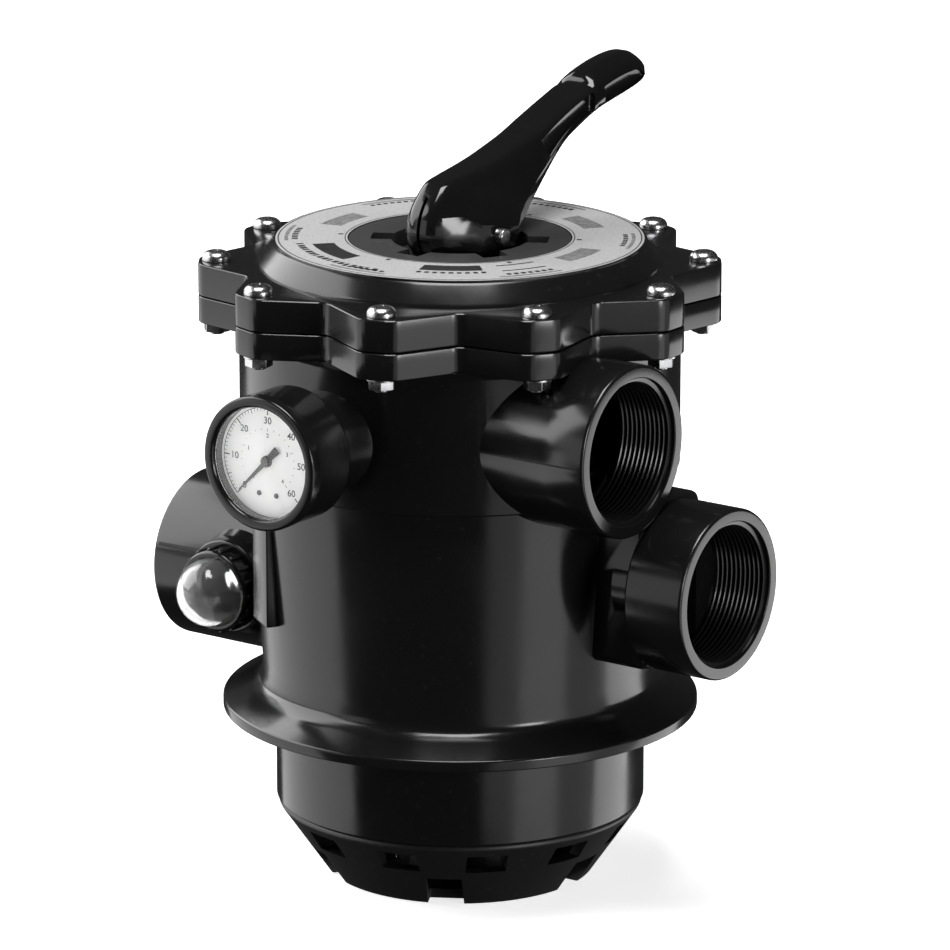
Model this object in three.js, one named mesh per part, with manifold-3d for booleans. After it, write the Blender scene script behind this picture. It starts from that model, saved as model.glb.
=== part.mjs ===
// Top-mount multiport valve for a pool filter, in millimetres, +Z up.
// Origin: the valve axis at the underside of the clamp flange, where the valve seats on the tank.
import * as THREE from 'three';
import { mergeVertices } from 'three/addons/utils/BufferGeometryUtils.js';
import Module from 'manifold-3d';

const wasm = await Module();
wasm.setup();

// ---- Driving dimensions -------------------------------------------------------------------
const GAP = 0.3;                 // clearance between touching pieces
const FINE = 40;                 // facets round the large bodies
const MEDIUM = 24;               // facets round ports and gauge
const SMALL = 8;                 // facets round screws

const CONE_BOTTOM = -71;         // lower rim of the strainer cone
const NECK_BOTTOM = -39;
const NECK_RADIUS = 76.9;
const RIM_RADIUS = 55.6;
const CLAMP_RADIUS = 99;         // clamp flange
const CLAMP_EDGE = 4.2;
const CLAMP_TOP = 10.6;
const SEAM = 83.4;               // joint between lower and upper body
const LOWER_RADIUS = 82.4;
const SEAM_RADIUS = 87.5;
const UPPER_RADIUS = 91;
const CHAMBER_RADIUS = 84;       // inside of the upper body
const FLANGE_BOTTOM = 164;
const FLANGE_SPLIT = 175.5;      // face between body flange and cover flange
const FLANGE_TOP = 189;
const COVER_TOP = 198;
const COVER_FLOOR = 190;         // floor of the round recess in the cover
const DISC_RADIUS = 45.8;        // index disc
const DISC_TOP = 198.4;
const RECESS_RADIUS = 28;        // opening in the index disc

const LOBES = 10;
const LOBE_TIP = 107.4;
const LOBE_VALLEY = 90.5;
const BOLT_CIRCLE = 100;
const BOLT_RADIUS = 3;
const BOLT_HOLE = 3.4;
const SCREW_END = 158;
const NUT_ROOM = 7;              // radius kept free round each nut

const PORT_RADIUS = 35.4;
const PORT_BORE = 28.4;          // 2 inch pipe thread, minor radius
const BORE_DEPTH = 27;
const PUMP_PORT = { face: 110, y: -33.5, z: 132 };
const RETURN_PORT = { face: 134.5, y: 0, z: 69, collar: 106.5 };
const WASTE_PORT = { face: -135, y: 0, z: 43, radius: 36 };

const SIGHT = { x: -92, z: WASTE_PORT.z, boss: 20, face: -41 };
const PAD = { angle: -123, width: 17, radius: 88.3, bottom: 43, top: 81.4 };
const GAUGE = { z: 132, front: -136, back: -108, radius: 27.5, inner: 22.9 };

const NECK_BORE = 71;
const TANK_SEAL = 82.5;          // centre line of the seal under the clamp flange
const LEDGE = 4;                 // step inside the lower body that carries the port divider
const DIVIDER_RADIUS = 76;
const PLATE_BOTTOM = 77.4;       // underside of the port plate
const PIPE_RADIUS = 27;          // socket for the tank's standpipe
const PIPE_BORE = 22.5;
const PIPE_END = -70;
const SECTORS = 6;               // ports in the plate, and positions of the lever

const STEM_RADIUS = 11.5;
const PIN = { z: 202, radius: 3.2, half: 23.4 };
const HUB_TOP = 122;             // top of the rotor's hub
const COVER_UNDERSIDE = 183;

// ---- Solids -------------------------------------------------------------------------------
function solid(geometry) {
  const bare = geometry.clone();
  bare.deleteAttribute('normal');
  bare.deleteAttribute('uv');
  const merged = mergeVertices(bare, 1e-4);
  const index = merged.index.array;
  const triangles = [];
  for (let i = 0; i < index.length; i += 3) {
    const [a, b, c] = index.slice(i, i + 3);
    if (a !== b && b !== c && c !== a) triangles.push(a, b, c);
  }
  return new wasm.Manifold(new wasm.Mesh({
    numProp: 3,
    vertProperties: new Float32Array(merged.attributes.position.array),
    triVerts: new Uint32Array(triangles),
  }));
}

function geometryOf(body) {
  const mesh = body.getMesh();
  const geometry = new THREE.BufferGeometry();
  geometry.setAttribute('position', new THREE.BufferAttribute(mesh.vertProperties, 3));
  geometry.setIndex(new THREE.BufferAttribute(mesh.triVerts, 1));
  geometry.computeVertexNormals();
  return geometry;
}

const join = (...bodies) => bodies.reduce((sum, body) => sum.add(body));
const cut = (body, ...tools) => tools.reduce((rest, tool) => rest.subtract(tool), body);
const rad = THREE.MathUtils.degToRad;

// A profile of [radius, height] points, anticlockwise, turned round the Z axis.
function revolveGeometry(profile, facets) {
  const points = profile.map(([r, z]) => new THREE.Vector2(r, z));
  if (profile[0][0] > 0) points.push(points[0].clone());
  return new THREE.LatheGeometry(points, facets).rotateX(Math.PI / 2);
}

const revolve = (profile, facets = FINE) => solid(revolveGeometry(profile, facets));

// The same profile turned round the line through `at` that points along `axis`.
function revolveAlong(axis, at, profile, facets = MEDIUM) {
  const geometry = revolveGeometry(profile, facets);
  if (axis === '-y') geometry.rotateX(Math.PI / 2);
  if (axis === '+x') geometry.rotateY(Math.PI / 2);
  if (axis === '-x') geometry.rotateY(-Math.PI / 2);
  return solid(geometry.translate(...at));
}

const disc = (radius, from, to) => [[0, from], [radius, from], [radius, to], [0, to]];
const ring = (inner, outer, from, to) => [[outer, from], [outer, to], [inner, to], [inner, from]];

function prism(shape, from, to, curveSegments = 2) {
  const options = { depth: to - from, bevelEnabled: false, curveSegments };
  return solid(new THREE.ExtrudeGeometry(shape, options).translate(0, 0, from));
}

function box(x, y, z) {
  const geometry = new THREE.BoxGeometry(x[1] - x[0], y[1] - y[0], z[1] - z[0]);
  return solid(geometry.translate((x[0] + x[1]) / 2, (y[0] + y[1]) / 2, (z[0] + z[1]) / 2));
}

// A sector of a ring between two angles in degrees.
function sector(inner, outer, start, end, from, to) {
  const shape = new THREE.Shape();
  shape.absarc(0, 0, outer, rad(start), rad(end), false);
  shape.absarc(0, 0, inner, rad(end), rad(start), true);
  return prism(shape, from, to, 2);
}

// O-ring section: a small circle at `major` from the axis.
function oRingProfile(major, minor, height, points = 5) {
  return Array.from({ length: points }, (_, i) => {
    const angle = (i / points) * 2 * Math.PI;
    return [major + minor * Math.cos(angle), height + minor * Math.sin(angle)];
  });
}

const around = (count, make) => Array.from({ length: count }, (_, i) => make((i * 360) / count, i));

function polar(radius, degrees, side = 0) {
  const angle = rad(degrees);
  return [
    radius * Math.cos(angle) - side * Math.sin(angle),
    radius * Math.sin(angle) + side * Math.cos(angle),
  ];
}

// ---- Cover and body flange ----------------------------------------------------------------
// Ten lobes with flat tips, straight flanks and a small round in each valley.
function lobedOutline() {
  const half = 7;                                  // half width of a lobe's tip
  const [valleyX, valleyY] = polar(LOBE_VALLEY, 180 / LOBES);
  const flank = (t) => [LOBE_TIP + (valleyX - LOBE_TIP) * t, half + (valleyY - half) * t];
  const shape = new THREE.Shape();
  const corner = flank(0.13);
  const foot = flank(0.88);
  around(LOBES, (angle, i) => {
    const start = polar(foot[0], angle, -foot[1]);
    if (i === 0) shape.moveTo(...start);
    shape.lineTo(...polar(corner[0], angle, -corner[1]));
    shape.quadraticCurveTo(...polar(LOBE_TIP, angle, -half), ...polar(LOBE_TIP, angle, -half * 0.45));
    shape.lineTo(...polar(LOBE_TIP, angle, half * 0.45));
    shape.quadraticCurveTo(...polar(LOBE_TIP, angle, half), ...polar(corner[0], angle, corner[1]));
    shape.lineTo(...polar(foot[0], angle, foot[1]));
    const next = polar(foot[0], angle + 360 / LOBES, -foot[1]);
    shape.quadraticCurveTo(...polar(LOBE_VALLEY, angle + 180 / LOBES), ...next);
  });
  shape.closePath();
  return shape;
}

function boltHoles(from, to, radius = BOLT_HOLE) {
  return around(LOBES, (angle) => {
    const [x, y] = polar(BOLT_CIRCLE, angle);
    const geometry = revolveGeometry(disc(radius, from, to), SMALL);
    return solid(geometry.translate(x, y, 0));
  });
}

function cover() {
  const flange = prism(lobedOutline(), FLANGE_SPLIT, FLANGE_TOP);
  const cone = revolve([
    [0, FLANGE_SPLIT], [83.4, FLANGE_SPLIT], [83.4, FLANGE_TOP], [76.6, COVER_TOP - 0.6],
    [76, COVER_TOP], [0, COVER_TOP],
  ]);
  const boss = revolve(disc(18, 172, COVER_UNDERSIDE + 1), MEDIUM);
  const recess = revolve(disc(DISC_RADIUS + GAP, COVER_FLOOR, COVER_TOP + 1));
  const hollow = revolve(disc(79, FLANGE_SPLIT - 1, COVER_UNDERSIDE));
  const upperHollow = revolve(ring(51, 71, COVER_UNDERSIDE - 1, 193));
  const bore = revolve(disc(STEM_RADIUS + 0.6, 171, COVER_TOP + 1), MEDIUM);
  const shell = cut(join(flange, cone), hollow, upperHollow, recess, ...boltHoles(FLANGE_SPLIT - 1, FLANGE_TOP + 1));
  return cut(join(shell, boss), bore);
}

function positionPlate() {
  return revolve(ring(DISC_RADIUS + GAP, 75.8, COVER_TOP + GAP, COVER_TOP + 0.8));
}

// The index disc has one open notch at each position of the lever.
function indexDisc() {
  const plain = revolve(ring(RECESS_RADIUS, DISC_RADIUS, COVER_FLOOR + GAP, DISC_TOP));
  const notches = around(SECTORS, (angle) => {
    const notch = new THREE.Shape([[-5.5, 24], [5.5, 24], [5.5, 36.5], [-5.5, 36.5]]
      .map(([x, y]) => new THREE.Vector2(x, y)));
    const geometry = new THREE.ExtrudeGeometry(notch, { depth: 6, bevelEnabled: false });
    return solid(geometry.rotateZ(rad(angle)).translate(0, 0, 194));
  });
  return cut(plain, ...notches);
}

function coverScrew() {
  const head = revolve([
    [0, FLANGE_TOP + GAP], [5.9, FLANGE_TOP + GAP], [5.9, FLANGE_TOP + 2.2],
    [3.4, FLANGE_TOP + 4.2], [0, FLANGE_TOP + 4.2],
  ], 10);
  return head.add(revolve(disc(BOLT_RADIUS, SCREW_END, FLANGE_TOP + 1), SMALL));
}

function coverNut() {
  const hexagon = new THREE.CylinderGeometry(5.77, 5.77, 4.5, 6).rotateX(Math.PI / 2);
  const body = solid(hexagon.translate(0, 0, FLANGE_BOTTOM - GAP - 2.25));
  return cut(body, revolve(disc(BOLT_RADIUS + GAP, 150, 170), SMALL));
}

// ---- Bodies -------------------------------------------------------------------------------
function upperBody() {
  const { face, y, z } = PUMP_PORT;
  const wall = revolve([
    [0, SEAM + GAP], [UPPER_RADIUS, SEAM + GAP], [UPPER_RADIUS, FLANGE_BOTTOM + 1],
    [0, FLANGE_BOTTOM + 1],
  ]);
  const flange = prism(lobedOutline(), FLANGE_BOTTOM, FLANGE_SPLIT - GAP);
  const port = revolveAlong('+x', [0, y, z], disc(PORT_RADIUS, 30, face));
  const gaugeBoss = revolveAlong('-y', [0, 0, GAUGE.z], [
    [0, 80], [23, 80], [19.5, 95], [18.5, -GAUGE.back - GAP], [0, -GAUGE.back - GAP],
  ]);
  const chamber = revolve(disc(CHAMBER_RADIUS, SEAM - 1, FLANGE_SPLIT + 1));
  const bore = revolveAlong('+x', [0, y, z], [
    [0, 35], [27, 35], [27, face - BORE_DEPTH], [PORT_BORE, face - BORE_DEPTH],
    [PORT_BORE, face - 2], [PORT_BORE + 2, face], [PORT_BORE + 2, face + 1], [0, face + 1],
  ]);
  const groove = revolve(ring(84.4, 88.6, 171.5, FLANGE_SPLIT + 1));
  const gaugeHole = revolveAlong('-y', [0, 0, GAUGE.z], disc(7, 70, 120), 24);
  return cut(join(wall, flange, port, gaugeBoss), chamber, bore, groove, gaugeHole,
    ...boltHoles(FLANGE_BOTTOM - 1, FLANGE_SPLIT + 1),
    ...boltHoles(SCREW_END - 1, FLANGE_BOTTOM, NUT_ROOM));
}

function lowerBody() {
  const outer = revolve([
    [0, NECK_BOTTOM], [NECK_RADIUS, NECK_BOTTOM], [NECK_RADIUS, 0], [CLAMP_RADIUS, 0],
    [CLAMP_RADIUS, CLAMP_EDGE], [LOWER_RADIUS + 0.5, CLAMP_TOP], [LOWER_RADIUS, 21],
    [SEAM_RADIUS, SEAM], [0, SEAM],
  ]);
  const rp = RETURN_PORT;
  const root = box([70, rp.collar + 1], [-20, 20], [36, SEAM]);
  const sleeve = revolveAlong('+x', [0, rp.y, rp.z], disc(22, 91.8, rp.collar + 1));
  const collar = revolveAlong('+x', [0, rp.y, rp.z], disc(PORT_RADIUS, rp.collar, rp.face));
  const waste = revolveAlong('-x', [0, 0, WASTE_PORT.z], disc(WASTE_PORT.radius, 50, -WASTE_PORT.face));
  const sightBoss = revolveAlong('-y', [SIGHT.x, 0, SIGHT.z], disc(SIGHT.boss, 25, -SIGHT.face));
  const pad = solid(new THREE.BoxGeometry(PAD.radius - 70, PAD.width, PAD.top - PAD.bottom)
    .translate((PAD.radius + 70) / 2, 0, (PAD.top + PAD.bottom) / 2).rotateZ(rad(PAD.angle)));
  const body = join(outer, root, sleeve, collar, waste, sightBoss, pad);

  const room = revolve([
    [0, NECK_BOTTOM - 1], [NECK_BORE, NECK_BOTTOM - 1], [NECK_BORE, LEDGE],
    [DIVIDER_RADIUS + GAP, LEDGE], [DIVIDER_RADIUS + GAP, SEAM + 1], [0, SEAM + 1],
  ]);
  const returnBore = revolveAlong('+x', [0, rp.y, rp.z], [
    [0, rp.face - BORE_DEPTH], [PORT_BORE, rp.face - BORE_DEPTH], [PORT_BORE, rp.face - 2],
    [PORT_BORE + 2, rp.face], [PORT_BORE + 2, rp.face + 1], [0, rp.face + 1],
  ]);
  const returnWay = box([66, rp.face - BORE_DEPTH + 1], [-16, 16], [42, PLATE_BOTTOM]);
  const wasteDepth = -WASTE_PORT.face;
  const wasteBore = revolveAlong('-x', [0, 0, WASTE_PORT.z], [
    [0, 66], [26, 66], [26, wasteDepth - BORE_DEPTH], [PORT_BORE, wasteDepth - BORE_DEPTH],
    [PORT_BORE, wasteDepth - 2], [PORT_BORE + 2, wasteDepth], [PORT_BORE + 2, wasteDepth + 1],
    [0, wasteDepth + 1],
  ]);
  const sightHole = revolveAlong('-y', [SIGHT.x, 0, SIGHT.z], disc(10.5, 10, 50), 20);
  const sightGroove = revolveAlong('-y', [SIGHT.x, 0, SIGHT.z], ring(11.6, 14.8, 38, 42), 20);
  const sealGroove = revolve(ring(TANK_SEAL - 2.2, TANK_SEAL + 2.2, -1, 4.5));
  return cut(body, room, returnBore, returnWay, wasteBore, sightHole, sightGroove, sealGroove);
}

// Insert with the port plate, six chambers under it and the standpipe socket.
// Chamber 0: return port. 180: waste port. 60 and 240: the standpipe, through windows.
// 120 and 300: open below, to the space round the standpipe.
function portDivider() {
  const body = join(
    revolve(disc(DIVIDER_RADIUS, LEDGE + GAP, SEAM)),
    revolve(disc(PIPE_RADIUS, PIPE_END, LEDGE + 1), MEDIUM),
  );
  const chambers = around(SECTORS, (angle) => {
    const open = angle === 120 || angle === 300;
    return sector(PIPE_RADIUS, 80, angle - 27.5, angle + 27.5, open ? 0 : 9, PLATE_BOTTOM);
  });
  const ports = around(SECTORS, (angle) => (
    sector(32, 70, angle - 22, angle + 22, PLATE_BOTTOM - 1, SEAM + 1)
  ));
  const pipe = revolve(disc(PIPE_BORE, PIPE_END - 1, PLATE_BOTTOM), MEDIUM);
  const windows = [60, 240].map((angle) => (
    sector(PIPE_BORE - 1, PIPE_RADIUS + 1, angle - 24, angle + 24, 30, PLATE_BOTTOM)
  ));
  return cut(body, ...chambers, ...ports, pipe, ...windows);
}

// Slotted cone under the neck, closed below: water passes through twelve windows and six notches.
function strainerCone() {
  const top = NECK_BOTTOM - GAP;
  const shell = revolve([
    [RIM_RADIUS, CONE_BOTTOM], [NECK_RADIUS - 1, top - 1.6], [NECK_RADIUS - 1.6, top],
    [NECK_BORE, top], [RIM_RADIUS - 3, CONE_BOTTOM + 4], [PIPE_RADIUS + 0.5, CONE_BOTTOM + 4],
    [PIPE_RADIUS + 0.5, CONE_BOTTOM],
  ]);
  const windows = around(12, (angle) => {
    const [x, y] = polar(68, angle + 15);
    const geometry = new THREE.BoxGeometry(34, 17, 8.8).rotateZ(rad(angle + 15));
    return solid(geometry.translate(x, y, -48.9));
  });
  const notches = around(6, (angle) => {
    const [x, y] = polar(65, angle);
    const geometry = new THREE.BoxGeometry(34, 15, 14).rotateZ(rad(angle));
    return solid(geometry.translate(x, y, -64));
  });
  return cut(shell, ...windows, ...notches);
}

// ---- Sight glass --------------------------------------------------------------------------
function sightGlass() {
  const base = -SIGHT.face + GAP;
  const centre = 51;
  const outer = 14.5;
  const inner = 12.3;
  const dome = [[outer + 1.4, base], [outer + 1.4, base + 2.4], [outer, base + 2.4]];
  const inside = [];
  const steps = 5;
  for (let i = 0; i < steps; i += 1) {
    const angle = (i / steps) * (Math.PI / 2);
    dome.push([outer * Math.cos(angle), centre + outer * Math.sin(angle)]);
    inside.push([inner * Math.cos(angle), centre + inner * Math.sin(angle)]);
  }
  dome.push([0, centre + outer]);
  inside.push([0, centre + inner]);
  const outside = revolveAlong('-y', [SIGHT.x, 0, SIGHT.z], [[0, base], ...dome], 20);
  const hollow = revolveAlong('-y', [SIGHT.x, 0, SIGHT.z], [[0, base - 1], [inner, base - 1], ...inside], 20);
  return cut(outside, hollow);
}

function sightGlassNut() {
  const base = -SIGHT.face + GAP;
  const body = revolveAlong('-y', [SIGHT.x, 0, SIGHT.z], [
    [17.6, base], [17.6, base + 7.4], [16.8, base + 8.6], [14.9, base + 8.6],
    [14.9, base + 2.8], [16.3, base + 2.8], [16.3, base],
  ], MEDIUM);
  const ribs = around(12, (angle) => {
    const geometry = new THREE.BoxGeometry(2.4, 2, 6.6).translate(17.1, 0, base + 3.8);
    geometry.rotateZ(rad(angle)).rotateX(Math.PI / 2);
    return solid(geometry.translate(SIGHT.x, 0, SIGHT.z));
  });
  return join(body, ...ribs);
}

// ---- Pressure gauge -----------------------------------------------------------------------
const alongGauge = (profile, facets) => revolveAlong('-y', [0, 0, GAUGE.z], profile, facets);

function gaugeCase() {
  const front = -GAUGE.front;
  const back = -GAUGE.back;
  const cup = alongGauge([
    [0, back], [GAUGE.radius - 2.5, back], [GAUGE.radius, back + 2.5], [GAUGE.radius, front - 1.2],
    [GAUGE.radius - 1.2, front], [GAUGE.inner, front], [GAUGE.inner, 128], [0, 128],
  ]);
  return cut(cup, alongGauge(disc(5, back - 1, 118), 24));
}

function gaugeNeedle() {
  const hub = alongGauge(disc(2.3, 129.6, 131.6), 20);
  const blade = new THREE.Shape([[-1.5, -7], [1.5, -7], [0.5, 18.5], [-0.5, 18.5]]
    .map(([x, y]) => new THREE.Vector2(x, y)));
  const geometry = new THREE.ExtrudeGeometry(blade, { depth: 0.7, bevelEnabled: false });
  geometry.translate(0, 0, -0.35).rotateX(Math.PI / 2).rotateY(rad(-135));
  return join(hub, solid(geometry.translate(0, -130.4, GAUGE.z)));
}

function gaugeStem() {
  return alongGauge([
    [0, 84], [5.6, 84], [6.4, 86], [6.4, -GAUGE.back - GAP * 2], [4.7, -GAUGE.back - GAP * 2],
    [4.7, 117.5], [0, 117.5],
  ], 24);
}

// ---- Stem, rotor and spring ---------------------------------------------------------------
function stem() {
  const r = STEM_RADIUS;
  const profile = [[0, 95.6], [r, 95.6]];
  [175.5, 180.5].forEach((z) => {
    profile.push([r, z - 1.6], [r - 2.6, z - 1.6], [r - 2.6, z + 1.6], [r, z + 1.6]);
  });
  profile.push([r, 207], [7, 211.5], [0, 211.5]);
  const pinHole = revolveAlong('+x', [0, 0, PIN.z], disc(PIN.radius + GAP, -20, 20), 12);
  return cut(revolve(profile, 24), pinHole);
}

function rotor() {
  const base = SEAM + 3.6;
  const body = join(
    revolve(disc(78, base, 95), 32),
    revolve(disc(26, 94, HUB_TOP), MEDIUM),
    sector(20, 74, -32, 92, 94, 112),
    ...around(3, (angle) => sector(20, 72, angle + 148, angle + 151, 94, 104)),
  );
  const pocket = sector(32, 69, -26, 86, base - 1, 108);
  const opening = sector(32, 70, 97, 143, base - 1, 100);
  const socket = revolve(disc(STEM_RADIUS + GAP * 2, 95.3, HUB_TOP + 1), 24);
  return cut(body, pocket, opening, socket);
}

function spiderGasket() {
  const low = SEAM + GAP;
  const high = SEAM + 3.3;
  const spokes = around(SECTORS, (angle) => (
    solid(new THREE.BoxGeometry(44, 5, high - low).translate(51, 0, (low + high) / 2)
      .rotateZ(rad(angle + 30)))
  ));
  return join(revolve(ring(71.5, 77, low, high), 32), revolve(ring(26, 31, low, high), MEDIUM), ...spokes);
}

// Compression spring between the rotor's washer and the underside of the cover.
function spring() {
  const bottom = HUB_TOP + 2.6;
  const top = COVER_UNDERSIDE - GAP;
  const wire = 1.6;
  const turns = 5;
  const steps = 45;
  const points = Array.from({ length: steps + 1 }, (_, i) => {
    const turn = i / steps;
    const angle = turn * turns * 2 * Math.PI;
    const z = bottom + wire + 0.1 + turn * (top - bottom - 2 * wire - 0.2);
    return new THREE.Vector3(22 * Math.cos(angle), 22 * Math.sin(angle), z);
  });
  const section = new THREE.Shape();
  section.absarc(0, 0, wire, 0, 2 * Math.PI);
  const options = { steps, curveSegments: 3, bevelEnabled: false, extrudePath: new THREE.CatmullRomCurve3(points) };
  return solid(new THREE.ExtrudeGeometry(section, options));
}

// ---- Handle -------------------------------------------------------------------------------
const points2 = (pairs) => pairs.map(([x, y]) => new THREE.Vector2(x, y));
const mirrored = (right) => [...right, ...right.map(([x, y]) => [-x, y]).reverse()];

// Side outline in the Y-Z plane: nose at -Y, grip at +Y.
function handleSide() {
  const side = new THREE.Shape();
  side.moveTo(-25, 194.5);
  side.quadraticCurveTo(-30.5, 203, -28, 210);
  side.quadraticCurveTo(-25, 218.5, -17, 224.5);
  side.quadraticCurveTo(8, 227.5, 24, 231);
  side.quadraticCurveTo(42, 235.5, 78, 247.5);
  side.quadraticCurveTo(82, 249.5, 84, 252.5);
  side.quadraticCurveTo(100, 258.5, 112, 259);
  side.quadraticCurveTo(122, 257.5, 123.6, 247.5);
  side.quadraticCurveTo(121, 244, 107, 241.8);
  side.lineTo(84, 237.5);
  side.quadraticCurveTo(60, 230, 50, 219);
  side.quadraticCurveTo(38, 208, 31, 199.4);
  side.lineTo(23, 199.4);
  side.lineTo(20, 194.5);
  side.closePath();
  return side;
}

// Extrudes an outline drawn in the Y-Z plane along X, between two limits.
function slab(shape, from, to) {
  const options = { depth: to - from, bevelEnabled: false, curveSegments: 3 };
  const geometry = new THREE.ExtrudeGeometry(shape, options).translate(0, 0, from);
  return solid(geometry.rotateX(Math.PI / 2).rotateZ(Math.PI / 2));
}

// Seen from above: narrow nose, wide hub round the pin, then the arm and its round end.
const HANDLE_PLAN = [[7.2, -34], [7.2, -27], [22.4, -5], [22.4, 6], [11, 32], [10.6, 84],
  [10.6, 112], [7.5, 121], [0, 124]];

// Seen from the front: upright cheeks that draw in to the arm's width.
const HANDLE_FRONT = [[22.4, 180], [22.4, 206], [19.5, 212.5], [15.4, 218.5], [10.8, 225], [10.8, 270]];

function pocketNearHub() {
  const pocket = new THREE.Shape();
  pocket.moveTo(42, 231.5);
  pocket.quadraticCurveTo(60, 238.5, 81, 245.8);
  pocket.lineTo(81, 239);
  pocket.quadraticCurveTo(62, 234, 48, 221);
  pocket.closePath();
  return pocket;
}

function pocketNearTip() {
  const pocket = new THREE.Shape();
  pocket.moveTo(90, 249.4);
  pocket.quadraticCurveTo(103, 253.6, 113, 253);
  pocket.quadraticCurveTo(118.5, 251, 118.5, 247.5);
  pocket.lineTo(90, 241.4);
  pocket.closePath();
  return pocket;
}

function handle() {
  const plan = prism(new THREE.Shape(points2(mirrored(HANDLE_PLAN))), 180, 270);
  const front = new THREE.Shape(points2(mirrored(HANDLE_FRONT)));
  const cheeks = solid(new THREE.ExtrudeGeometry(front, { depth: 180, bevelEnabled: false })
    .rotateX(Math.PI / 2).translate(0, 140, 0));
  const body = slab(handleSide(), -30, 30).intersect(plan).intersect(cheeks);
  const stemRoom = revolveAlong('+x', [0, 0, PIN.z], disc(15.6, -12, 12), 24);
  const below = box([-12, 12], [-15.6, 15.6], [180, PIN.z]);
  const pinHole = revolveAlong('+x', [0, 0, PIN.z], disc(PIN.radius + GAP, -30, 30), 12);
  const slot = box([-0.8, 0.8], [-34, -23], [180, 221]);
  const pockets = [pocketNearHub(), pocketNearTip()]
    .flatMap((shape) => [slab(shape, 5, 20), slab(shape, -20, -5)]);
  return cut(body, stemRoom, below, pinHole, slot, ...pockets);
}

// ---- Materials ----------------------------------------------------------------------------
const FINISH = {
  blackPlastic: { color: 0x101112, roughness: 0.25, metalness: 0 },
  darkPlastic: { color: 0x2a2b2c, roughness: 0.4, metalness: 0 },
  label: { color: 0xb9bab9, roughness: 0.45, metalness: 0 },
  steel: { color: 0xc8c9ca, roughness: 0.25, metalness: 1 },
  brass: { color: 0xb08d4a, roughness: 0.35, metalness: 1 },
  rubber: { color: 0x151515, roughness: 0.8, metalness: 0 },
  dial: { color: 0xf0f0ec, roughness: 0.5, metalness: 0 },
  clear: { color: 0xdfe6e8, roughness: 0.05, metalness: 0 },
};

// ---- Assembly -----------------------------------------------------------------------------
const valve = new THREE.Group();

function place(name, body, finish, at = [0, 0, 0]) {
  const geometry = body instanceof THREE.BufferGeometry ? body : geometryOf(body);
  const mesh = new THREE.Mesh(geometry, new THREE.MeshStandardMaterial(FINISH[finish]));
  mesh.name = name;
  mesh.position.set(...at);
  valve.add(mesh);
}

place('cover', cover(), 'blackPlastic');
place('position_plate', positionPlate(), 'label');
place('index_disc', indexDisc(), 'darkPlastic');
place('upper_body', upperBody(), 'blackPlastic');
place('lower_body', lowerBody(), 'blackPlastic');
place('port_divider', portDivider(), 'darkPlastic');
place('strainer_cone', strainerCone(), 'blackPlastic');
place('handle', handle(), 'blackPlastic');
place('handle_pin', revolveAlong('+x', [0, 0, PIN.z], disc(PIN.radius, -PIN.half, PIN.half), 12), 'steel');

const screwGeometry = geometryOf(coverScrew());
const nutGeometry = geometryOf(coverNut());
around(LOBES, (angle, i) => {
  const number = String(i + 1).padStart(2, '0');
  const [x, y] = polar(BOLT_CIRCLE, angle);
  place(`cover_screw_${number}`, screwGeometry.clone(), 'steel', [x, y, 0]);
  place(`cover_nut_${number}`, nutGeometry.clone(), 'steel', [x, y, 0]);
});

place('gauge_case', gaugeCase(), 'blackPlastic');
place('gauge_lens', alongGauge(disc(GAUGE.inner - GAP, 133.2, 134.6)), 'clear');
place('gauge_dial', alongGauge(disc(GAUGE.inner - GAP, 128.3, 129.2)), 'dial');
place('gauge_needle', gaugeNeedle(), 'darkPlastic');
place('gauge_stem', gaugeStem(), 'brass');

place('sight_glass', sightGlass(), 'clear');
place('sight_glass_nut', sightGlassNut(), 'blackPlastic');
place('sight_glass_o_ring',
  revolveAlong('-y', [SIGHT.x, 0, SIGHT.z], oRingProfile(13.2, 1.2, 39.6), 20), 'rubber');

place('stem', stem(), 'darkPlastic');
place('rotor', rotor(), 'darkPlastic');
place('spider_gasket', spiderGasket(), 'rubber');
place('spring', spring(), 'steel');
place('thrust_washer', revolve(ring(STEM_RADIUS + 0.6, 26, COVER_FLOOR + GAP, 192.1), MEDIUM), 'darkPlastic');
place('spring_washer', revolve(ring(STEM_RADIUS + 0.5, 25.6, HUB_TOP + GAP, HUB_TOP + 2.3), MEDIUM), 'steel');
place('stem_o_ring_1', revolve(oRingProfile(STEM_RADIUS - 1, 1.25, 175.5), 20), 'rubber');
place('stem_o_ring_2', revolve(oRingProfile(STEM_RADIUS - 1, 1.25, 180.5), 20), 'rubber');
place('cover_o_ring', revolve(oRingProfile(86.5, 1.7, 173.4), 32), 'rubber');
place('tank_o_ring', revolve(oRingProfile(TANK_SEAL, 1.8, 2.3)), 'rubber');

export default valve;
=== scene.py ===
"""Top-mount multiport valve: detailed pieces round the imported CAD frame, +Z up."""
import math
import bpy
import bmesh
from mathutils import Matrix, Vector


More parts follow.
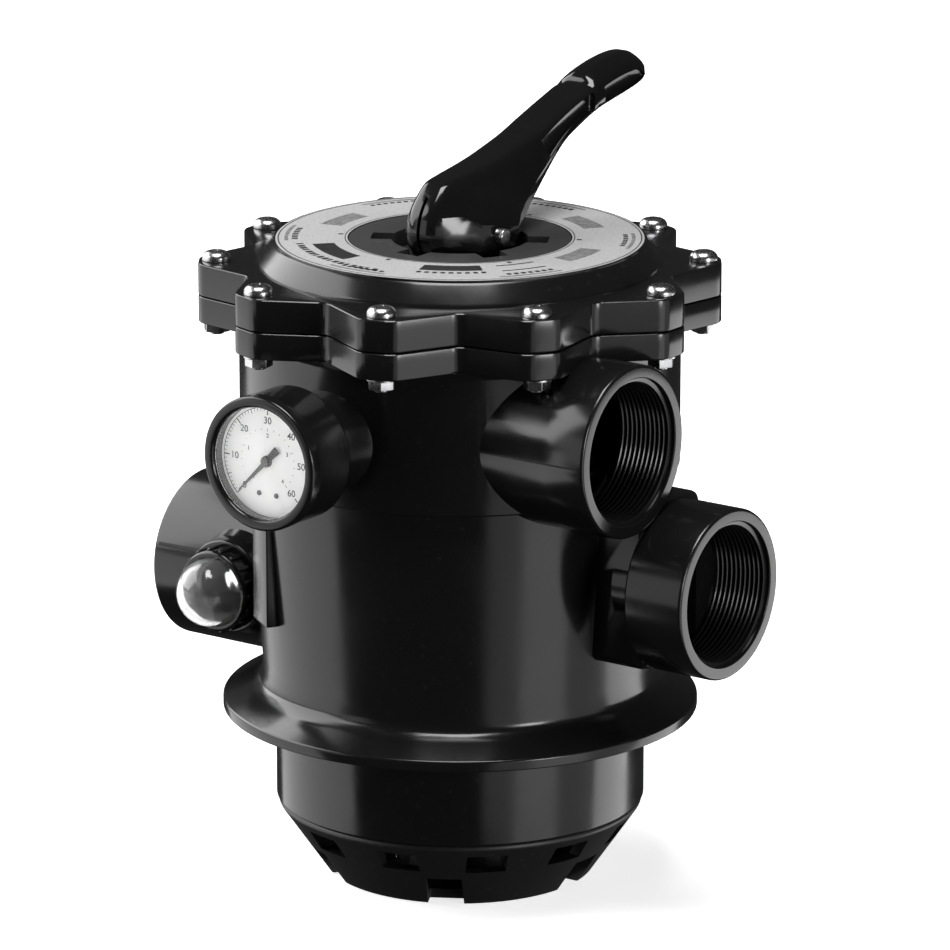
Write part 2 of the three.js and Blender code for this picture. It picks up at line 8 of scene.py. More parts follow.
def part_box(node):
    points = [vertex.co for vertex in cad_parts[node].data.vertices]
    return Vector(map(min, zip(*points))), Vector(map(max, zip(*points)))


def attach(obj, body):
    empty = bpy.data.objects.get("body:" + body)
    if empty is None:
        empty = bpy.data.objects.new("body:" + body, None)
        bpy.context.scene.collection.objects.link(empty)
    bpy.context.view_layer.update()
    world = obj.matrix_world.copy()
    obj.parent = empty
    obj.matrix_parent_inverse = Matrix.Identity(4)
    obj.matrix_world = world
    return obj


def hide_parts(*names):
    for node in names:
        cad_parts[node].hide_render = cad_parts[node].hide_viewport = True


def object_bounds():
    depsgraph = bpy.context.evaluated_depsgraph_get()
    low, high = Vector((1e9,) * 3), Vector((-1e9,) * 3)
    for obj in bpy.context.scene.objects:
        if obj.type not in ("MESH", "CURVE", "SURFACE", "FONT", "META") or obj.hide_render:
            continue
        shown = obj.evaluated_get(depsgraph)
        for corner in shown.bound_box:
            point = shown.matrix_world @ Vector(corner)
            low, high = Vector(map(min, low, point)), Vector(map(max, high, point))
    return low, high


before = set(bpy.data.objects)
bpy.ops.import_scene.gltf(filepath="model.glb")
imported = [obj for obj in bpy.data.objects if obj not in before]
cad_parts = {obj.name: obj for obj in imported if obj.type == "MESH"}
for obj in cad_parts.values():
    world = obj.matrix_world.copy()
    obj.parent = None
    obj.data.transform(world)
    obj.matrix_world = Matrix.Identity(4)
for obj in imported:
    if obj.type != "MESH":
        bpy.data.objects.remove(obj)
cad_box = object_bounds()

MM = 0.001               # lengths below are millimetres until they reach a mesh
FINE = 160               # steps round the large bodies
ROUND = 96               # steps round ports and gauge
CORNER_STEPS = 5         # steps in a rounded corner
EDGE_STEPS = 3           # steps in a prism's bevelled edge
TURN = {                 # turns a lathe's own +Z to the named direction
    "z": Matrix.Identity(4),
    "-y": Matrix.Rotation(math.pi / 2, 4, "X"),
    "+x": Matrix.Rotation(math.pi / 2, 4, "Y"),
    "-x": Matrix.Rotation(-math.pi / 2, 4, "Y"),
}


# ---- Sizes taken from the frame ---------------------------------------------------------------
def low(node):
    return [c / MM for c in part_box(node)[0]]


def high(node):
    return [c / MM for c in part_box(node)[1]]


GAP = 0.3
SEAM = high("lower_body")[2]                 # joint between lower and upper body
SPLIT = high("upper_body")[2] + GAP          # face between the two flanges
FLANGE_TOP = low("cover_screw_01")[2] + 31   # cover flange's top
FLANGE_BOTTOM = SPLIT - 11.5
COVER_TOP = low("position_plate")[2] - GAP
CLAMP_RADIUS = high("lower_body")[1]
UPPER_RADIUS = 91.0
LOWER_RADIUS = 82.4
SEAM_RADIUS = 87.5
NECK_BOTTOM = low("lower_body")[2]
NECK_RADIUS = 76.9
CONE_BOTTOM = low("strainer_cone")[2]
RIM_RADIUS = 55.6
DISC_RADIUS = high("index_disc")[0]
DISC_TOP = high("index_disc")[2]
COVER_FLOOR = low("index_disc")[2] - GAP
PORT_RADIUS = 35.4
PORT_BORE = 28.4
THREAD_PITCH = 25.4 / 11.5                   # 2 inch pipe thread
THREAD_DEPTH = 1.3
BORE_DEPTH = 27.0
MOUTH_DEPTH = 2.4                            # plain mouth before the thread
PUMP = {"face": 110.0, "y": -33.5, "z": 132.0}
RETURN = {"face": high("lower_body")[0], "z": 69.0, "collar": 106.5}
WASTE = {"face": -low("lower_body")[0], "z": 43.0, "radius": 36.0}
SIGHT = (-92.0, 0.0, WASTE["z"])
SIGHT_FACE = -high("sight_glass_nut")[1] - GAP
GAUGE = (0.0, 0.0, 132.0)
GAUGE_FRONT = -low("gauge_case")[1]
GAUGE_BACK = -high("gauge_case")[1]
GAUGE_RADIUS = high("gauge_case")[0]
GAUGE_INNER = 22.9
BOLTS = 10
BOLT_CIRCLE = 100.0
LOBE_TIP = 107.4
LOBE_VALLEY = 90.5
PIN_Z = 202.0
PIN_HALF = high("handle_pin")[0]


# ---- Camera -----------------------------------------------------------------------------------
def make_camera():
    data = bpy.data.cameras.new("camera")
    data.lens = 249.1
    data.sensor_width = 36
    data.clip_end = 50
    camera = bpy.data.objects.new("camera", data)
    camera.location = (1.5479, -2.1200, 0.819)
    camera.rotation_euler = (math.radians(90 - 15.37), 0, math.radians(36))
    bpy.context.collection.objects.link(camera)
    bpy.context.scene.camera = camera


make_camera()


# ---- Mesh tools -------------------------------------------------------------------------------
def mesh_object(name, verts, faces):
    mesh = bpy.data.meshes.new(name)
    mesh.from_pydata([tuple(c * MM for c in v) for v in verts], [], faces)
    obj = bpy.data.objects.new(name, mesh)
    bpy.context.collection.objects.link(obj)
    return obj


def corner(before, at, after, radius):
    """Points that round the corner `at` of a profile."""
    p, a, b = Vector(at), Vector(before), Vector(after)
    start = p + (a - p).normalized() * min(radius, (a - p).length * 0.49)
    end = p + (b - p).normalized() * min(radius, (b - p).length * 0.49)
    points = []
    for i in range(CORNER_STEPS + 1):
        t = i / CORNER_STEPS
        points.append(tuple(start * (1 - t) ** 2 + p * 2 * t * (1 - t) + end * t ** 2))
    return points


def rounded(profile, closed=False):
    """A profile whose points may carry a third number, the size of a rounded corner there."""
    out = []
    count = len(profile)
    for i, point in enumerate(profile):
        ends = not closed and i in (0, count - 1)
        if len(point) < 3 or ends:
            out.append(tuple(point[:2]))
            continue
        out += corner(profile[i - 1][:2], point[:2], profile[(i + 1) % count][:2], point[2])
    return out


def lathe(name, profile, axis="z", at=(0, 0, 0), steps=ROUND):
    """Turns a profile of (radius, height[, rounding]), anticlockwise, round an axis."""
    ring_shape = profile[0][0] > 1e-6
    points = rounded(profile, closed=ring_shape)
    verts, rows = [], []
    for r, h in points:
        if r < 1e-6:
            rows.append([len(verts)] * steps)
            verts.append((0, 0, h))
            continue
        rows.append(list(range(len(verts), len(verts) + steps)))
        for k in range(steps):
            angle = 2 * math.pi * k / steps
            verts.append((r * math.cos(angle), r * math.sin(angle), h))
    faces = []
    pairs = list(zip(rows, rows[1:])) + ([(rows[-1], rows[0])] if ring_shape else [])
    for a, b in pairs:
        for k in range(steps):
            n = (k + 1) % steps
            quad = [a[k], a[n], b[n], b[k]]
            faces.append([v for i, v in enumerate(quad) if v != quad[i - 1]])
    obj = mesh_object(name, verts, [f for f in faces if len(f) > 2])
    obj.data.transform(TURN[axis])
    obj.data.transform(Matrix.Translation(Vector(at) * MM))
    return obj


def disc(radius, bottom, top, soft=0.0):
    return [(0, bottom), (radius, bottom, soft), (radius, top, soft), (0, top)]


def ring(inner, outer, bottom, top, soft=0.0):
    return [(outer, bottom, soft), (outer, top, soft), (inner, top, soft), (inner, bottom, soft)]


def prism(name, outline, bottom, top, edge=0.0):
    """An upright solid on a plan outline, with its edges rounded by `edge`."""
    count = len(outline)
    verts = [(x, y, bottom) for x, y in outline] + [(x, y, top) for x, y in outline]
    faces = [list(range(count))[::-1], list(range(count, 2 * count))]
    for k in range(count):
        n = (k + 1) % count
        faces.append([k, n, count + n, count + k])
    obj = mesh_object(name, verts, faces)
    if edge:
        bevel(obj, edge, EDGE_STEPS, 50)
    return obj


def block(name, x, y, z, edge=0.0, turn=0.0):
    """A box between limits, its edges rounded, turned about Z by `turn` degrees."""
    obj = prism(name, [(x[0], y[0]), (x[1], y[0]), (x[1], y[1]), (x[0], y[1])], z[0], z[1], edge)
    obj.data.transform(Matrix.Rotation(math.radians(turn), 4, "Z"))
    return obj


def side_slab(name, outline, x, edge=0.0):
    """A solid on an outline drawn in the Y-Z plane, between two X limits."""
    obj = prism(name, outline, x[0], x[1], edge)
    spin = Matrix(((0, 0, 1, 0), (1, 0, 0, 0), (0, 1, 0, 0), (0, 0, 0, 1)))
    obj.data.transform(spin)
    return obj


def sector_outline(inner, outer, start, end, steps=24):
    angles = [math.radians(start + (end - start) * i / steps) for i in range(steps + 1)]
    outer_arc = [(outer * math.cos(a), outer * math.sin(a)) for a in angles]
    return outer_arc + [(inner * math.cos(a), inner * math.sin(a)) for a in reversed(angles)]


def apply_modifiers(obj):
    depsgraph = bpy.context.evaluated_depsgraph_get()
    mesh = bpy.data.meshes.new_from_object(obj.evaluated_get(depsgraph))
    obj.modifiers.clear()
    obj.data = mesh


def bevel(obj, width, segments=3, angle=40):
    modifier = obj.modifiers.new("edges", "BEVEL")
    modifier.width = width * MM
    modifier.segments = segments
    modifier.limit_method = "ANGLE"
    modifier.angle_limit = math.radians(angle)
    apply_modifiers(obj)


def boolean(obj, operation, tools):
    for tool in tools:
        modifier = obj.modifiers.new("cut", "BOOLEAN")
        modifier.operation = operation
        modifier.solver = "MANIFOLD"
        modifier.object = tool
    apply_modifiers(obj)
    for tool in tools:
        bpy.data.objects.remove(tool)
    return obj


def join(obj, *tools):
    return boolean(obj, "UNION", tools)


def cut(obj, *tools):
    return boolean(obj, "DIFFERENCE", tools)


def polar(radius, degrees, side=0.0):
    a = math.radians(degrees)
    return (radius * math.cos(a) - side * math.sin(a), radius * math.sin(a) + side * math.cos(a))


def around(count):
    return [360 * i / count for i in range(count)]


def bezier(start, control, end, steps=8):
    """Points of a curve after `start`."""
    points = []
    for i in range(1, steps + 1):
        t = i / steps
        points.append(tuple(a * (1 - t) ** 2 + 2 * c * t * (1 - t) + b * t * t
                            for a, c, b in zip(start, control, end)))
    return points


def finish_piece(obj, material, body, slot, *nodes, angle=32):
    obj.data.shade_smooth()
    obj.data.set_sharp_from_angle(angle=math.radians(angle))
    obj.data.materials.clear()
    obj.data.materials.append(material)
    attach(obj, body)
    if nodes:
        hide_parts(*nodes)
    return obj


# ---- Materials --------------------------------------------------------------------------------
class Nodes:
    """Builds one procedural material round a Principled shader."""

    def __init__(self, name, base, roughness, metallic=0.0):
        self.material = bpy.data.materials.new(name)
        self.material.use_nodes = True
        self.tree = self.material.node_tree
        self.shader = self.tree.nodes["Principled BSDF"]
        self.set("Base Color", (*base, 1))
        self.set("Roughness", roughness)
        self.set("Metallic", metallic)
        self.coords = self.tree.nodes.new("ShaderNodeTexCoord").outputs["Object"]

    def set(self, socket, value):
        self.shader.inputs[socket].default_value = value

    def noise(self, scale, detail=4.0, roughness=0.55, stretch=(1, 1, 1)):
        mapping = self.tree.nodes.new("ShaderNodeMapping")
        mapping.inputs["Scale"].default_value = stretch
        self.tree.links.new(self.coords, mapping.inputs["Vector"])
        node = self.tree.nodes.new("ShaderNodeTexNoise")
        node.inputs["Scale"].default_value = scale
        node.inputs["Detail"].default_value = detail
        node.inputs["Roughness"].default_value = roughness
        self.tree.links.new(mapping.outputs["Vector"], node.inputs["Vector"])
        return node.outputs["Fac"]

    def remap(self, value, low_in, high_in, low_out, high_out):
        node = self.tree.nodes.new("ShaderNodeMapRange")
        self.tree.links.new(value, node.inputs["Value"])
        for key, number in (("From Min", low_in), ("From Max", high_in),
                            ("To Min", low_out), ("To Max", high_out)):
            node.inputs[key].default_value = number
        return node.outputs["Result"]

    def mix(self, factor, first, second, socket="Base Color"):
        node = self.tree.nodes.new("ShaderNodeMix")
        node.data_type = "RGBA"
        self.tree.links.new(factor, node.inputs["Factor"])
        node.inputs["A"].default_value = (*first, 1)
        node.inputs["B"].default_value = (*second, 1)
        self.tree.links.new(node.outputs["Result"], self.shader.inputs[socket])

    def link(self, value, socket):
        self.tree.links.new(value, self.shader.inputs[socket])

    def bump(self, value, strength, distance):
        node = self.tree.nodes.new("ShaderNodeBump")
        node.inputs["Strength"].default_value = strength
        node.inputs["Distance"].default_value = distance
        self.tree.links.new(value, node.inputs["Height"])
        previous = self.shader.inputs["Normal"]
        if previous.is_linked:
            self.tree.links.new(previous.links[0].from_socket, node.inputs["Normal"])
        self.tree.links.new(node.outputs["Normal"], previous)


def moulded_plastic(name, shade, dust, roughness, grain):
    """Injection-moulded plastic: faint orange peel, uneven gloss and a little pale dust."""
    m = Nodes(name, (shade,) * 3, roughness)
    m.set("Specular IOR Level", 0.5)
    specks = m.remap(m.noise(420, 2.0), 0.62, 0.75, 0.0, 1.0)
    m.mix(specks, (shade,) * 3, (dust,) * 3)
    cloud = m.noise(28, 5.0)
    m.link(m.remap(cloud, 0.3, 0.7, roughness - 0.05, roughness + 0.06), "Roughness")
    m.bump(m.noise(700, 3.0), grain, 0.0002)
    m.bump(m.noise(60, 2.0), grain * 0.5, 0.0006)
    return m.material


def metal(name, colour, roughness):
    """Turned or brushed metal: fine streaks and slightly dull patches."""
    m = Nodes(name, colour, roughness, 1.0)
    dull = tuple(c * 0.72 for c in colour)
    m.mix(m.remap(m.noise(160, 5.0), 0.45, 0.75, 0.0, 1.0), colour, dull)
    streaks = m.noise(900, 3.0, stretch=(1, 1, 12))
    m.link(m.remap(streaks, 0.3, 0.7, roughness - 0.06, roughness + 0.12), "Roughness")
    m.bump(streaks, 0.12, 0.0001)
    return m.material


def printed_label():
    """Grey printed plate with a slight grain and soft smudges."""
    m = Nodes("label_print", (0.42, 0.42, 0.42), 0.42)
    m.mix(m.remap(m.noise(900, 3.0), 0.35, 0.65, 0.0, 1.0), (0.47, 0.47, 0.47), (0.36, 0.36, 0.36))
    m.link(m.remap(m.noise(40, 4.0), 0.3, 0.7, 0.36, 0.5), "Roughness")
    m.bump(m.noise(1400, 2.0), 0.05, 0.0001)
    return m.material


def rubber():
    m = Nodes("seal_rubber", (0.012, 0.012, 0.012), 0.7)
    m.mix(m.remap(m.noise(300, 4.0), 0.4, 0.8, 0.0, 1.0), (0.012,) * 3, (0.03,) * 3)
    m.bump(m.noise(900, 3.0), 0.15, 0.0002)
    return m.material


def dial_face():
    m = Nodes("dial_white", (0.94, 0.94, 0.93), 0.45)
    m.mix(m.remap(m.noise(80, 4.0), 0.4, 0.8, 0.0, 1.0), (0.96, 0.96, 0.95), (0.9, 0.9, 0.89))
    # Painted glow: a little emission lifts the dial so it looks lit, though the dial is no lamp
    m.set("Emission Color", (1, 1, 1, 1))
    m.set("Emission Strength", 0.12)
    m.bump(m.noise(1500, 2.0), 0.04, 0.0001)
    return m.material


def dark_print(name, shade):
    m = Nodes(name, (shade,) * 3, 0.5)
    m.mix(m.remap(m.noise(600, 3.0), 0.4, 0.75, 0.0, 1.0), (shade,) * 3, (shade * 2.2,) * 3)
    m.bump(m.noise(1500, 2.0), 0.04, 0.0001)
    return m.material


def clear_plastic(name, roughness, tint, clarity):
    """Clear moulding: a clean surface with a few fine scuffs."""
    m = Nodes(name, tint, roughness)
    m.set("Transmission Weight", clarity)
    m.set("IOR", 1.46)
    scuffs = m.remap(m.noise(500, 6.0, stretch=(1, 6, 1)), 0.55, 0.8, roughness, roughness + 0.12)
    m.link(scuffs, "Roughness")
    m.bump(m.noise(120, 2.0), 0.03, 0.0002)
    return m.material


GLOSS = moulded_plastic("gloss_black", 0.0075, 0.014, 0.18, 0.03)
GRIP = moulded_plastic("lever_black", 0.006, 0.008, 0.11, 0.015)
SATIN = moulded_plastic("satin_black", 0.011, 0.03, 0.42, 0.1)
DISC_GREY = moulded_plastic("disc_grey", 0.032, 0.06, 0.45, 0.12)
INNER = moulded_plastic("inner_plastic", 0.02, 0.04, 0.38, 0.1)
STEEL = metal("stainless", (0.62, 0.62, 0.63), 0.22)
BRASS = metal("brass_fitting", (0.6, 0.42, 0.16), 0.3)
LABEL = printed_label()
RUBBER = rubber()
DIAL = dial_face()
INK = dark_print("black_ink", 0.01)
GREY_INK = dark_print("grey_ink", 0.13)
NEEDLE = dark_print("needle_black", 0.015)
DOME = clear_plastic("clear_dome", 0.07, (0.85, 0.85, 0.85), 0.93)
LENS = clear_plastic("clear_lens", 0.01, (1, 1, 1), 1.0)


# ---- Cover and flanges ------------------------------------------------------------------------
def lobed_outline():
    """Ten lobes with flat tips, straight flanks and a small round in each valley."""
    half = 7.0
    valley = polar(LOBE_VALLEY, 180 / BOLTS)
    points = []

    def flank(t):
        return (LOBE_TIP + (valley[0] - LOBE_TIP) * t, half + (valley[1] - half) * t)

    near, foot = flank(0.13), flank(0.88)
    for angle in around(BOLTS):
        points.append(polar(foot[0], angle, -foot[1]))
        start = polar(near[0], angle, -near[1])
        points.append(start)
        points += bezier(start, polar(LOBE_TIP, angle, -half), polar(LOBE_TIP, angle, -half * 0.45), 5)
        last = polar(LOBE_TIP, angle, half * 0.45)
        points.append(last)
        points += bezier(last, polar(LOBE_TIP, angle, half), polar(near[0], angle, near[1]), 5)
        end = polar(foot[0], angle, foot[1])
        points.append(end)
        following = polar(foot[0], angle + 360 / BOLTS, -foot[1])
        points += bezier(end, polar(LOBE_VALLEY, angle + 180 / BOLTS), following, 6)[:-1]
    return points


def bolt_holes(bottom, top, radius=3.4):
    return [lathe("hole", disc(radius, bottom, top), at=(*polar(BOLT_CIRCLE, a), 0), steps=32)
            for a in around(BOLTS)]


def make_cover():
    flange = prism("cover_shell", lobed_outline(), SPLIT, FLANGE_TOP, edge=0.9)
    cone = lathe("cone", [
        (0, SPLIT + 2), (80, SPLIT + 2), (83.4, FLANGE_TOP - 2), (83.4, FLANGE_TOP + 0.4, 1.5),
        (76.8, COVER_TOP - 0.2, 1.2), (75.4, COVER_TOP + 0.1, 0.5), (0, COVER_TOP + 0.1)], steps=FINE)
    rim = lathe("rim", ring(76.0, 76.5, COVER_TOP - 1, COVER_TOP + 0.7, 0.2), steps=FINE)
    body = join(flange, cone, rim)
    cut(body,
        lathe("hollow", disc(79, SPLIT - 1, 183, 0), steps=FINE),
        lathe("recess", disc(DISC_RADIUS + GAP, COVER_FLOOR, COVER_TOP + 2), steps=ROUND),
        *bolt_holes(SPLIT - 1, FLANGE_TOP + 1))
    join(body, lathe("boss", disc(18, 172, 184, 0.8), steps=ROUND))
    cut(body, lathe("bore", disc(12.1, 170, COVER_TOP + 1), steps=ROUND))
    finish_piece(body, GLOSS, "valve_body", "gloss_black", "cover", angle=28)


def make_index_disc():
    plate = lathe("index_plate", ring(28, DISC_RADIUS, COVER_FLOOR + GAP, DISC_TOP, 0.4), steps=ROUND)
    cuts = [block("notch", (-5.5, 5.5), (24, 36.5), (194, 200), 0, angle) for angle in around(6)]
    cut(plate, *cuts)
    finish_piece(plate, DISC_GREY, "valve_body", "disc_grey", "index_disc")


def make_position_plate():
    bottom = COVER_TOP + GAP
    plate = lathe("label_plate", ring(DISC_RADIUS + GAP, 75.7, bottom, bottom + 0.45, 0.15), steps=FINE)
    finish_piece(plate, LABEL, "valve_body", "label_print", "position_plate")
    top = bottom + 0.45

    def mark(inner, outer, start, end, height=0.05):
        return prism("mark", sector_outline(inner, outer, start, end), top - 0.05, top + height)

    black, grey = [], []
    black.append(mark(51, 59.5, -70, -45))
    black.append(mark(52.5, 61.5, -132, -104))
    for start in range(-70, -44, 3):
        black.append(mark(61.8, 64.2, start, start + 1.7))
    for i, start in enumerate(range(-134, -84, 3)):
        black.append(mark(65.0, 68.0, start, start + (2.1 if i % 3 else 1.4)))
    for k, angle in enumerate(around(6)):
        place = angle - 90
        grey.append(mark(70.5, 72.0, place - 11, place + 11))
        black.append(mark(48.2, 50.2, place - 1.0, place + 1.0))
        for step in range(-3, 4):
            black.append(mark(66.5 if k % 2 else 67, 69.0, place + step * 2.6, place + step * 2.6 + 1.6))
    grey.append(mark(53, 62, -8, 14))
    grey.append(mark(53, 62, 52, 74))
    grey.append(mark(53, 62, 112, 134))
    grey.append(mark(53, 62, 172, 194))
    black.append(mark(52.5, 53.6, -38, -20))
    black.append(mark(61.4, 62.5, -38, -20))
    outline_inner = lathe("line", ring(46.9, 47.3, top - 0.05, top + 0.05), steps=FINE)
    outline_outer = lathe("line", ring(74.3, 74.8, top - 0.05, top + 0.05), steps=FINE)
    merged(black + [outline_inner, outline_outer], "label_marks_black", INK)
    merged(grey, "label_marks_grey", GREY_INK)


def merged(parts, name, material, slot="label_print"):
    """Several separate marks as one piece."""
    whole = bmesh.new()
    for part in parts:
        whole.from_mesh(part.data)
        bpy.data.objects.remove(part)
    obj = mesh_object(name, [], [])
    whole.to_mesh(obj.data)
    whole.free()
    return finish_piece(obj, material, "valve_body", slot)


def make_fasteners():
    """Ten pan head screws with cross recesses, and their hexagon nuts."""
    base = FLANGE_TOP + 0.1
    screw = lathe("screw", [
        (0, base - 31), (3, base - 31, 0.6), (3, base), (5.9, base, 0.2), (5.9, base + 1.9, 1.2),
        (4.4, base + 3.6, 1.8), (2, base + 4.1, 1), (0, base + 4.1)], steps=48)
    cut(screw, block("slot", (-3, 3), (-0.55, 0.55), (base + 2.6, base + 6)),
        block("slot", (-0.55, 0.55), (-3, 3), (base + 2.6, base + 6)),
        lathe("slot", [(0, base + 1.8), (1.4, base + 5), (0, base + 5)], steps=24))
    hexagon = [polar(5.7, 60 * k) for k in range(6)]
    nut = prism("nut", hexagon, FLANGE_BOTTOM - 4.7, FLANGE_BOTTOM - 0.1, 0.25)
    washer = lathe("washer", disc(6.3, FLANGE_BOTTOM - 1.0, FLANGE_BOTTOM - 0.1, 0.2), steps=48)
    join(nut, washer)
    cut(nut, lathe("hole", disc(3.1, 150, 170), steps=32))
    for kind, model in (("screw", screw), ("nut", nut)):
        for k, angle in enumerate(around(BOLTS)):
            node = f"cover_{kind}_{k + 1:02d}"
            mesh = model.data.copy()
            mesh.transform(Matrix.Rotation(math.radians(angle * 2.3), 4, "Z"))
            mesh.transform(Matrix.Translation(Vector((*polar(BOLT_CIRCLE, angle), 0)) * MM))
            piece = bpy.data.objects.new(f"{kind}_{k + 1:02d}", mesh)
            bpy.context.collection.objects.link(piece)
            finish_piece(piece, STEEL, "valve_body", "stainless", node)
        bpy.data.objects.remove(model)


# ---- Bodies -----------------------------------------------------------------------------------
def threaded_bore(name, face, axis, at, depth, inner):
    """The cutter for a port: plain mouth, thread rings and a smooth way in behind."""
    root = PORT_BORE + THREAD_DEPTH
    mouth = face - MOUTH_DEPTH
    profile = [(0, depth), (inner, depth), (inner, face - BORE_DEPTH), (PORT_BORE + 0.6, face - BORE_DEPTH)]
    height = face - BORE_DEPTH + 2.0
    while height + THREAD_PITCH < mouth:
        profile += [(PORT_BORE, height), (PORT_BORE, height + 0.35),
                    (root, height + THREAD_PITCH * 0.55), (root, height + THREAD_PITCH * 0.7)]
        height += THREAD_PITCH
    profile += [(PORT_BORE, height), (PORT_BORE, mouth), (PORT_BORE + 1.6, mouth + 0.4),
                (PORT_BORE + 1.6, face - 0.4), (PORT_BORE + 2.0, face), (PORT_BORE + 2.0, face + 1),
                (0, face + 1)]
    return lathe(name, profile, axis, at, ROUND)


def make_upper_body():
    at = (0, PUMP["y"], PUMP["z"])
    face = PUMP["face"]
    wall = lathe("valve_upper", [
        (0, SEAM + GAP), (UPPER_RADIUS, SEAM + GAP, 0.9), (UPPER_RADIUS, FLANGE_BOTTOM + 4),
        (0, FLANGE_BOTTOM + 4)], steps=FINE)
    fillet = lathe("fillet", [
        (0, FLANGE_BOTTOM - 3), (UPPER_RADIUS - 0.05, FLANGE_BOTTOM - 3),
        (UPPER_RADIUS + 0.35, FLANGE_BOTTOM - 1.2), (UPPER_RADIUS + 1.6, FLANGE_BOTTOM + 0.6),
        (0, FLANGE_BOTTOM + 1)], steps=FINE)
    flange = prism("flange", lobed_outline(), FLANGE_BOTTOM, SPLIT - GAP, edge=0.8)
    port = lathe("port", [
        (0, 30), (PORT_RADIUS - 0.3, 30), (PORT_RADIUS - 0.3, face - 20), (PORT_RADIUS, face - 19),
        (PORT_RADIUS, face, 1.4), (0, face)], "+x", at, ROUND)
    boss = lathe("boss", [
        (0, 80), (22.5, 84), (20.2, 92, 3), (18.9, 99, 4), (18.5, GAUGE_BACK - GAP, 0.6),
        (0, GAUGE_BACK - GAP)],
        "-y", GAUGE, ROUND)
    y = PUMP["y"] - PORT_RADIUS
    line = block("line", (56, face - 3), (y - 0.25, y + 3), (PUMP["z"] - 0.3, PUMP["z"] + 0.3))
    join(wall, fillet, flange, port, boss, line)
    cut(wall,
        lathe("chamber", disc(84, SEAM - 1, SPLIT + 1), steps=FINE),
        threaded_bore("bore", face, "+x", at, 35, 27),
        lathe("groove", ring(84.4, 88.6, 171.5, SPLIT + 1), steps=FINE),
        lathe("hole", disc(7, 70, 120), "-y", GAUGE, 32),
        *bolt_holes(FLANGE_BOTTOM - 1, SPLIT + 1),
        *bolt_holes(157, FLANGE_BOTTOM, 7))
    finish_piece(wall, GLOSS, "valve_body", "gloss_black", "upper_body", angle=28)


def make_lower_body():
    z = RETURN["z"]
    outer = lathe("valve_lower", [
        (0, NECK_BOTTOM), (NECK_RADIUS, NECK_BOTTOM, 0.8), (NECK_RADIUS, 0), (CLAMP_RADIUS, 0, 0.5),
        (CLAMP_RADIUS, 4.4, 0.9), (LOWER_RADIUS + 3.2, 9.9, 2.5), (LOWER_RADIUS + 0.1, 13, 2.5),
        (LOWER_RADIUS, 21), (SEAM_RADIUS, SEAM, 0.7), (0, SEAM)], steps=FINE)
    root = block("root", (66, RETURN["collar"] + 1), (-20, 20), (36, SEAM), 4.0)
    sleeve = lathe("sleeve", disc(22, 91.8, RETURN["collar"] + 1, 0), "+x", (0, 0, z), ROUND)
    collar = lathe("collar", [
        (0, RETURN["collar"]), (PORT_RADIUS - 1.5, RETURN["collar"]), (PORT_RADIUS, RETURN["collar"] + 1.5),
        (PORT_RADIUS, RETURN["face"], 1.4), (0, RETURN["face"])], "+x", (0, 0, z), ROUND)
    waste = lathe("waste", [
        (0, 50), (WASTE["radius"], 50), (WASTE["radius"], WASTE["face"], 1.4), (0, WASTE["face"])],
        "-x", (0, 0, WASTE["z"]), ROUND)
    sight_boss = lathe("boss", [(0, 25), (22.5, 30), (20, 36, 2), (20, SIGHT_FACE, 1.2), (0, SIGHT_FACE)],
                       "-y", SIGHT, ROUND)
    pad = block("pad", (70, 88.2), (-8.5, 8.5), (43, SEAM - 2), 0.7, -123)
    y = -WASTE["radius"]
    line = block("line", (-WASTE["face"] + 3, -70), (y + 1.4, y + 5),
                 (WASTE["z"] + 10.7, WASTE["z"] + 11.3))
    join(outer, root, sleeve, collar, waste, sight_boss, pad, line)

    cutters = [threaded_bore("bore", RETURN["face"], "+x", (0, 0, z), RETURN["face"] - BORE_DEPTH, 20),
               block("way", (66, RETURN["face"] - BORE_DEPTH + 1), (-16, 16), (42, 78)),
               threaded_bore("bore", WASTE["face"], "-x", (0, 0, WASTE["z"]), 66, 26),
               lathe("room", [(0, NECK_BOTTOM - 1), (71, NECK_BOTTOM - 1), (71, 4), (76.3, 4),
                              (76.3, SEAM + 1), (0, SEAM + 1)], steps=FINE),
               lathe("seal", ring(80.3, 84.7, -1, 4.5), steps=FINE),
               lathe("hole", disc(10.5, 10, 50), "-y", SIGHT, ROUND),
               lathe("groove", ring(11.6, 14.8, 38, 42), "-y", SIGHT, ROUND)]
    cut(outer, *cutters)
    finish_piece(outer, GLOSS, "valve_body", "gloss_black", "lower_body", angle=28)


def make_strainer_cone():
    top = NECK_BOTTOM - GAP
    floor = CONE_BOTTOM + 4
    cone = lathe("strainer", [
        (RIM_RADIUS, CONE_BOTTOM, 1.0), (NECK_RADIUS - 0.6, top - 1.8, 1.6), (NECK_RADIUS - 1.4, top, 0.6),
        (71, top), (RIM_RADIUS - 3, floor, 2.0), (27.5, floor, 0.3), (27.5, CONE_BOTTOM, 0.3)], steps=FINE)
    cutters = []
    for angle in around(12):
        cutters.append(block("window", (51, 85), (-8.5, 8.5), (-53.3, -44.5), 0.5, angle + 15))
    for angle in around(6):
        cutters.append(block("notch", (48, 82), (-7.5, 7.5), (-75, -57), 0.5, angle))
    cut(cone, *cutters)
    finish_piece(cone, SATIN, "valve_body", "satin_black", "strainer_cone", angle=28)


